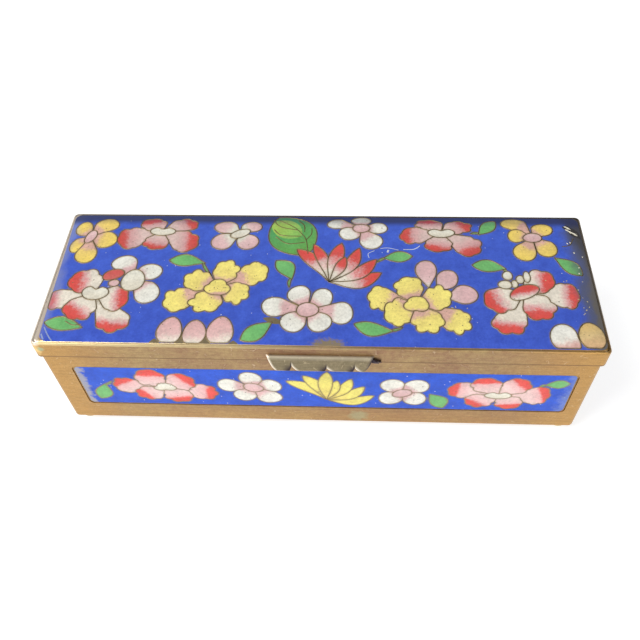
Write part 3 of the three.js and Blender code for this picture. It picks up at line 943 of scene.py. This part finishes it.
for at, across, up in (((42.0, 0.2), 0.7, 1.5), ((40.6, -0.5), 0.8, 1.1), ((39.4, -1.7), 0.7, 1.0),
        ((38.2, 0.5), 1.0, 1.2), ((37.5, -1.9), 1.4, 1.1)):
    lid.cell(oval(at, across, up), "cream")
lid.cell(oval((41.1, -3.8), 3.2, 1.7, radians(25)), "peony", (41.6, -6.0), (40.6, -2.6))

# %% Draw the lid: scuffs and chips
for line, width in (([(12.6, 7.7), (14.2, 7.9), (16.4, 7.3)], 0.14), ([(14.3, 7.3), (14.1, 6.6)], 0.4),
        ([(17.4, 7.5), (19.6, 7.6), (20.9, 8.6)], 0.18), ([(10.3, 5.0), (10.1, 6.2), (11.4, 7.1)], 0.13),
        ([(-53.2, -14.0), (-52.0, -15.9), (-50.9, -17.2)], 0.25), ([(-53.4, -15.6), (-52.7, -16.9)], 0.3)):
    trail = curve_points(line, 5)
    spine = [(p, (trail[min(i + 1, len(trail) - 1)] - trail[max(i - 1, 0)]).orthogonal().normalized()
        * width / 2) for i, p in enumerate(trail)]
    lid.cell([p + w for p, w in spine] + [p - w for p, w in spine[::-1]], "scuff", walled=False)
lid.cell(oval((53.0, 13.3), 2.6, 1.0, radians(-48), 5, 0.35), "soot", walled=False)
for at, across in (((52.2, 14.3), 0.9), ((52.5, 13.2), 1.2), ((53.5, 12.6), 0.8)):
    lid.cell(oval(at, across, 0.24, radians(-38), 5, 0.5), "bared", walled=False)
lid.wire([(50.3, 8.7), (52.0, 9.3), (53.0, 11.3)])
dice = random.Random(11)
for left, right, front, rear, count in ((51.4, 54.2, -9.5, 10.0, 18), (25.6, 30.2, -8.3, -7.1, 5),
        (45.5, 50.0, -1.3, -0.6, 3), (-9.5, -7.6, -6.4, -5.6, 3)):
    for _ in range(count):
        at = (dice.uniform(left, right), dice.uniform(front, rear))
        lid.cell(oval(at, dice.uniform(0.1, 0.26), dice.uniform(0.08, 0.16), dice.uniform(0, 3), 3, 0.3),
            "bared", walled=False)
lid.fit((0.99, 0.984), (0.01, 0.0), (-0.13, -0.1))
print("the lid's picture has", len(lid.cells), "cells")

# %% Lay the lid's enamel
PILLOW_EDGE = 5.0    # millimetres over which the enamel curves down to the rim
PLAQUE_CORNER, GROUND_CORNER = 0.8, 1.3
GROUND_GAP = 0.15    # how far short of the plaque's edge the blue ground stops
WORN_GAP = 1.2       # and how much further at the front left corner, where it is worn away
GROUND_SHIFT = 0.03  # the ground sits this far to the right
lid_size = top_high - top_low
lid_middle = (top_low + top_high) / 2
rim_level = lid_high.z
pillow = top_high.z - WIRE_PROUD - rim_level


def pillow_height(x, y):
    """The enamel is level in the middle and falls away smoothly to the rim."""
    fall = 1.0
    for inside in (lid_size.x / 2 - abs(x), lid_size.y / 2 - abs(y)):
        fall *= 1 - max(0, 1 - inside / PILLOW_EDGE) ** 2.2
    return rim_level + pillow * fall


def on_lid(x, y):
    return Vector((lid_middle.x + x, lid_middle.y + y, pillow_height(x, y))) * MM


def under_lid(x, y):
    return Vector((lid_middle.x + x, lid_middle.y + y, top_low.z)) * MM


lid_outline = rounded_rectangle(lid_size.x, lid_size.y, PLAQUE_CORNER)
lid_ground = []
for p in rounded_rectangle(lid_size.x - 2 * GROUND_GAP, lid_size.y - 2 * GROUND_GAP, GROUND_CORNER):
    worn = WORN_GAP * (0.5 - p.y / lid_size.y) ** 8 if p.x < 0 else 0
    lid_ground.append(p + Vector((GROUND_SHIFT + worn, 0.0)))
lid_plaque, lid_lines = build_plaque("lid_enamel_plaque", lid, lid_outline, lid_ground, on_lid, under_lid)
finish_piece(lid_plaque, "enamel", "lid_enamel")
lay_wires("lid_cloison_wires", lid_lines, WIRE_RADIUS, Vector((0, 0, WIRE_PROUD - WIRE_RADIUS)))

# %% [markdown]
# ## The walls' pictures
#
# The long walls carry one row of the same flowers; the back is the plainer
# of the two. Each end has a single yellow blossom between two leaves.
# Sizes are in millimetres from the middle of each plaque, x to the right
# and y up, as seen from outside.

# %% Draw the walls
front = Drawing()
front.leaf((-45.4, 0.3), (-47.8, -5.6), 3.6, stem=(-43.7, 1.4), bend=0.3)
front.leaf((22.2, -1.0), (25.4, -6.4), 3.9, bend=0.5)
front.leaf((44.9, 3.3), (49.8, 3.9), 2.9, stem=(43.9, 2.4))
front.blossom((-32.9, -0.6), [(-8.0, 0.5, 2.9, 2.9, 125), (7.8, -1.5, 3.4, 3.0, 350),
    (-2.4, 3.4, 3.3, 3.2, 88), (3.7, 2.0, 3.2, 3.3, 35), (-3.7, -2.4, 3.0, 2.7, 215),
    (2.3, -3.2, 3.3, 2.6, 275)], "rimmed", heart=(2.5, 1.5), heart_glaze="cream", heart_lobes=3, lobes=7,
    depth=0.15)
front.blossom((-14.2, 0.0), [(-4.9, 0.7, 2.5, 2.3), (3.6, 0.8, 2.3, 2.3), (-2.0, -2.9, 2.5, 2.2),
    (3.1, -3.5, 2.6, 2.3), (-0.3, 3.3, 2.3, 2.4)], "white", heart=(2.1, 1.6), heart_turn=-20)
lotus_base = (0.9, -4.0)
for tip, width, bend in (((-7.2, 2.8), 2.9, -1.0), ((10.9, -2.2), 2.9, -1.6), ((8.9, 1.2), 2.9, -1.2),
        ((-3.6, 4.9), 2.9, -0.7), ((6.2, 4.0), 2.7, -0.9), ((3.3, 3.3), 2.3, -0.3), ((1.3, 6.4), 3.0, 0.3)):
    front.cell(blade(lotus_base, tip, width, bend, 0.7, 0.6), "bright_yellow", lotus_base, tip)
front.blossom((16.6, -1.0), [(-2.0, 2.8, 2.5, 2.4), (2.9, 2.8, 2.5, 2.4), (-2.3, -1.9, 2.5, 2.4),
    (2.7, -2.0, 2.4, 2.4)], "white", heart=(2.1, 1.4), heart_turn=25)
front.blossom((36.3, -1.0), [(-7.6, 1.7, 2.9, 3.0, 175), (8.0, 0.2, 2.6, 3.4, 15),
    (-2.9, 3.7, 3.3, 2.7, 95), (3.1, 3.5, 3.1, 3.0, 45), (-3.6, -2.2, 3.2, 2.6, 240),
    (2.5, -2.7, 3.0, 2.5, 275)], "rimmed", heart=(2.7, 1.3), heart_glaze="cream", notch=0.5, lobes=7,
    depth=0.15)

back = Drawing()
for x in (-31.0, 31.0):
    back.leaf((x - 9.4, 0.2), (x - 14.6, -1.2), 3.4)
    back.leaf((x + 9.4, -0.2), (x + 14.6, 1.2), 3.4)
    back.blossom((x, 0.0), [(-5.6, 0.4, 3.2, 3.0, 180), (5.6, -0.4, 3.2, 3.0, 0), (-0.3, 3.2, 3.2, 2.4, 90),
        (0.3, -3.2, 3.2, 2.4, 270)], "rimmed", heart=(2.4, 1.3), **PEONY)
back.blossom((0.0, 0.0), [(4.0 * cos(turn), 3.2 * sin(turn), 2.5, 2.3)
    for turn in [radians(90 + 72 * k) for k in range(5)]], "white", heart=(1.9, 1.6))

front.fit((0.991, 1.005), (-0.01, -0.005), (-0.13, 0.17))

end = Drawing()
end.leaf((-5.4, -0.3), (-10.4, 1.4), 3.4, stem=(-3.8, -0.6))
end.leaf((5.4, 0.3), (10.4, -1.4), 3.4, stem=(3.8, 0.6))
end.blossom((0.0, 0.0), [(3.3 * cos(turn), 3.0 * sin(turn), 2.2, 2.2)
    for turn in [radians(54 + 72 * k) for k in range(5)]], "yellow", heart=(1.7, 1.4))
print("the front has", len(front.cells), "cells and the back", len(back.cells))

# %% Lay the walls' enamel
WALL_WIRE_RADIUS, WALL_WIRE_SUNK = 0.13, 0.09    # millimetres; the walls' wires are finer than the lid's
WALL_CORNER = 1.0
BARE_ENDS, BARE_SIDES = 0.5, 0.3    # how much smaller the ground is than the plaque, across and up

# each wall: its frame node, its picture, the way its picture runs, and the way it faces
walls = [("front_enamel_panel", front, Vector((1, 0, 0)), Vector((0, -1, 0))),
    ("back_enamel_panel", back, Vector((-1, 0, 0)), Vector((0, 1, 0))),
    ("left_enamel_panel", end, Vector((0, -1, 0)), Vector((-1, 0, 0))),
    ("right_enamel_panel", end, Vector((0, 1, 0)), Vector((1, 0, 0)))]
for node, picture, along, outward in walls:
    low, high = box_mm(node)
    size, centre = high - low, (low + high) / 2
    across = abs(size.dot(along))
    thick = abs(size.dot(outward))

    def outer(u, v):
        return (centre + along * u + Vector((0, 0, v)) + outward * thick / 2) * MM

    def inner(u, v):
        return outer(u, v) - outward * thick * MM

    outline = rounded_rectangle(across, size.z, WALL_CORNER)
    ground = rounded_rectangle(across - BARE_ENDS, size.z - BARE_SIDES, WALL_CORNER)
    framed = Drawing()
    framed.cells, framed.wires = picture.cells, picture.wires + [ground + ground[:1]]
    plaque, lines = build_plaque(node.replace("panel", "plaque"), framed, outline, ground, outer, inner,
        "wall_blue")
    finish_piece(plaque, "enamel", node)
    lay_wires(node.replace("enamel_panel", "cloison_wires"), lines, WALL_WIRE_RADIUS,
        -outward * WALL_WIRE_SUNK)

# %% [markdown]
# ## Ball feet
#
# Four small cast balls, soldered under the corners. They repeat, so one
# Geometry Nodes tree sets a ball on each of four points and flattens it
# where it stands.

# %% Set the feet
foot_names = [side + end for side in ("foot_front_", "foot_back_") for end in ("left", "right")]
foot_boxes = [box_mm(name) for name in foot_names]
foot_radius = (foot_boxes[0][1].x - foot_boxes[0][0].x) / 2
foot_top = foot_boxes[0][1].z
feet_tree, given = new_tree("set_ball_feet",
    [("Foot Radius", "Float", foot_radius * MM), ("Foot Top", "Float", foot_top * MM)])
ball = made(feet_tree, "GeometryNodeMeshUVSphere",
    {"Segments": 40, "Rings": 24, "Radius": given["Foot Radius"]})
placed = made(feet_tree, "GeometryNodeInstanceOnPoints", {"Points": given["Start"], "Instance": ball})
real = made(feet_tree, "GeometryNodeRealizeInstances", {"Geometry": placed})
spot = add_node(feet_tree, "ShaderNodeSeparateXYZ",
    {0: made(feet_tree, "GeometryNodeInputPosition")}).outputs
held = made(feet_tree, "ShaderNodeClamp", {"Value": spot[2], "Min": 0.0, "Max": given["Foot Top"]})
flat = made(feet_tree, "ShaderNodeCombineXYZ", {0: spot[0], 1: spot[1], 2: held})
stood = made(feet_tree, "GeometryNodeSetPosition", {"Geometry": real, "Position": flat})
close_tree(feet_tree, stood, given["Metal"])

foot_centre = 0.88 * foot_top    # the ball's middle; what lies above foot_top is pressed flat
foot_spots = []
for low, high in foot_boxes:
    foot_spots.append(((low.x + high.x) / 2 * MM, (low.y + high.y) / 2 * MM, foot_centre * MM))
feet = run_tree("ball_feet", new_mesh("foot_spots", foot_spots), feet_tree, {"Metal": foot_brass_painted_highlight})
finish_piece(feet, "tarnished_brass", *foot_names)

# %% [markdown]
# ## Thumb tab
#
# A cast strip soldered under the front edge of the lid. Its lower edge runs
# in four lobes of unequal width, each slightly domed, with a painted highlight on its
# left shoulder, worn bright along its foot, and painted shade in the notches. A dark,
# torn lump at its right end stands for the tab's shadow there, a painted shadow.

# %% Form the tab
LOBES = [-9.5, -4.65, 2.1, 7.5, 11.1]   # millimetres along the lid: the ends and the notches
NOTCHES = [1.1, 0.7, 0.8]               # how deep each notch is
TAB_TILT = radians(20)
TAB_THICK = 0.9
TAB_DROP = 3.6
TAB_OVERLAP = 0.4                       # how far it runs up its slope, into the front of the lid
RIM, DOME = 0.12, 0.72                  # its thickness at the edge, and what the dome adds
TOP_BEVEL, FOOT_BEVEL = 0.8, 0.55       # how wide the dome's rounded edges are
SHOULDER_HIGHLIGHT, FOOT_WEAR, TOP_HIGHLIGHT = 0.9, 0.4, 0.9     # how wide the painted highlight on a shoulder, the rubbed band along the foot and the painted highlight along the top are
SHADE_ACROSS, SHADE_UP = 1.8, 1.9       # how far the painted shade reaches out of a notch
END_ROUNDING, LEFT_ROUNDING, RIGHT_ROUNDING = 2.2, 1.6, 0.5    # how far in a shoulder starts to round
tab_top = tab_back_top.z
tab_back = tab_back_top.y


def lobe_at(x):
    """Which lobe x is in, how far across it from -1 to 1, and half the lobe's width."""
    for index, (a, b) in enumerate(zip(LOBES, LOBES[1:])):
        if x <= b:
            return index, (2 * x - a - b) / (b - a), (b - a) / 2
    return len(LOBES) - 2, 1.0, (LOBES[-1] - LOBES[-2]) / 2


def tab_drop(x):
    """How far the tab reaches down its slope at x. Left shoulders are rounder than right ones."""
    index, across, half = lobe_at(x)
    ends = (index == 0 and across < 0) or (index == len(LOBES) - 2 and across > 0)
    rounding = END_ROUNDING if ends else LEFT_ROUNDING if across < 0 else RIGHT_ROUNDING
    depth = TAB_DROP if ends else NOTCHES[index - 1 if across < 0 else index]
    inward = max(0.0, 1 - (1 - abs(across)) * half / rounding)
    return TAB_DROP - depth * inward ** 2.2


def tab_place(x, down, out):
    """out is how far a point stands in front of the plate's back, along its own normal."""
    y = tab_back - down * sin(TAB_TILT) - out * cos(TAB_TILT)
    z = tab_top - down * cos(TAB_TILT) + (out - TAB_THICK) * sin(TAB_TILT)
    return Vector((x, y, z)) * MM


def bulge(reach):
    """A quarter-round edge: 0 at the edge and 1 where it is full."""
    return sqrt(1 - (1 - min(1.0, reach)) ** 2)


def fading(distance, reach):
    """1 at no distance, 0 from reach on."""
    return max(0.0, 1 - distance / reach)


COLUMNS, ROWS = 230, 24
SIDE_STEP = 0.06     # millimetres to each side of x where the slope of the lower edge is measured
tab_places, tab_wear_and_highlight, tab_painted_shade, tab_faces = [], [], [], []
for on_front in (True, False):
    for i in range(COLUMNS + 1):
        x = LOBES[0] + (LOBES[-1] - LOBES[0]) * i / COLUMNS
        drop = max(tab_drop(x), 0.06)
        fall = (tab_drop(x + SIDE_STEP) - tab_drop(x - SIDE_STEP)) / (2 * SIDE_STEP)
        _, across, half = lobe_at(x)
        from_notch = (1 - across) * half
        for j in range(ROWS + 1):
            t = (1 - cos(pi * j / ROWS)) / 2
            from_top, from_foot = drop * t, drop * (1 - t)
            from_edge = from_foot / sqrt(1 + fall ** 2)
            proud = RIM + DOME * bulge(from_top / TOP_BEVEL) * bulge(from_edge / FOOT_BEVEL)
            tab_places.append(tab_place(x, from_top - TAB_OVERLAP, proud if on_front else 0.0))
            # painted highlights on the left shoulders, which face the light, and a little along the top;
            # real wear along the feet of the lobes; painted shade in the notches
            shoulder = min(1.0, max(0.0, fall * 1.8)) * fading(from_edge, SHOULDER_HIGHLIGHT) * 1.4
            notch_shade = fading(from_notch, SHADE_ACROSS) * fading(from_foot, SHADE_UP)
            foot = fading(from_edge, FOOT_WEAR) * (0.75 if fall > -0.4 else 0.0) * (1 - notch_shade) ** 2
            tab_wear_and_highlight.append(min(1.0, max(shoulder, foot, fading(from_top, TOP_HIGHLIGHT) * 0.3)))
            tab_painted_shade.append(min(1.0, 2.2 * notch_shade))


def corner(i, j):
    return i * (ROWS + 1) + j


stride = corner(COLUMNS + 1, 0)
for i in range(COLUMNS):
    for j in range(ROWS):
        a, b, c, d = corner(i, j), corner(i, j + 1), corner(i + 1, j + 1), corner(i + 1, j)
        tab_faces += [(a, b, c, d), (a + stride, d + stride, c + stride, b + stride)]
edge = [corner(i, 0) for i in range(COLUMNS)] + [corner(COLUMNS, j) for j in range(ROWS)]
edge += [corner(i, ROWS) for i in range(COLUMNS, 0, -1)] + [corner(0, j) for j in range(ROWS, 0, -1)]
tab_faces += [(a, b, b + stride, a + stride) for a, b in zip(edge, edge[1:] + edge[:1])]
tab_mesh = new_mesh("thumb_tab", tab_places, [], tab_faces, tab_brass)
# the worn values hold painted highlights as well as real wear, and the other values hold painted shade in
# the notches
for label, values in (("worn", tab_wear_and_highlight), ("painted_shade", tab_painted_shade)):
    layer = tab_mesh.attributes.new(label, "FLOAT", "POINT")
    for i, value in enumerate(values):
        layer.data[i].value = value
tab_mesh.shade_smooth()
tab_mesh.set_sharp_from_angle(angle=radians(50))
finish_piece(link_object("thumb_tab", tab_mesh), "tarnished_brass", "thumb_tab")

# %% Set a dark lump at the tab's end as its painted shadow
# a ball of radius 1, roughened and then pressed to about 2 by 0.7 by 1 mm at the tab's right end
shadow_lump_sheet = bmesh.new()
bmesh.ops.create_icosphere(shadow_lump_sheet, subdivisions=4, radius=1)
dice = random.Random(11)
shifts = [Vector((dice.uniform(-1, 1), dice.uniform(-1, 1), dice.uniform(-1, 1))) for _ in range(14)]
for vert in shadow_lump_sheet.verts:
    p = vert.co.copy()
    rough = sum(sin(5 * p.dot(shift) + 3 * shift.x) for shift in shifts) / len(shifts)
    p *= 1 + 0.8 * rough
    vert.co = Vector((LOBES[-1] + 0.35 + 0.95 * p.x, tab_back - 0.3 + 0.35 * p.y,
        tab_top - 1.3 + (0.5 - 0.2 * p.x) * p.z - 0.2 * p.x)) * MM
shadow_lump_mesh = bpy.data.meshes.new("painted_shadow_lump")
shadow_lump_sheet.to_mesh(shadow_lump_mesh)
shadow_lump_sheet.free()
shadow_lump_mesh.materials.append(shadow_lump_metal)
shadow_lump_mesh.shade_smooth()
finish_piece(link_object("painted_shadow_lump", shadow_lump_mesh), "tarnished_brass")
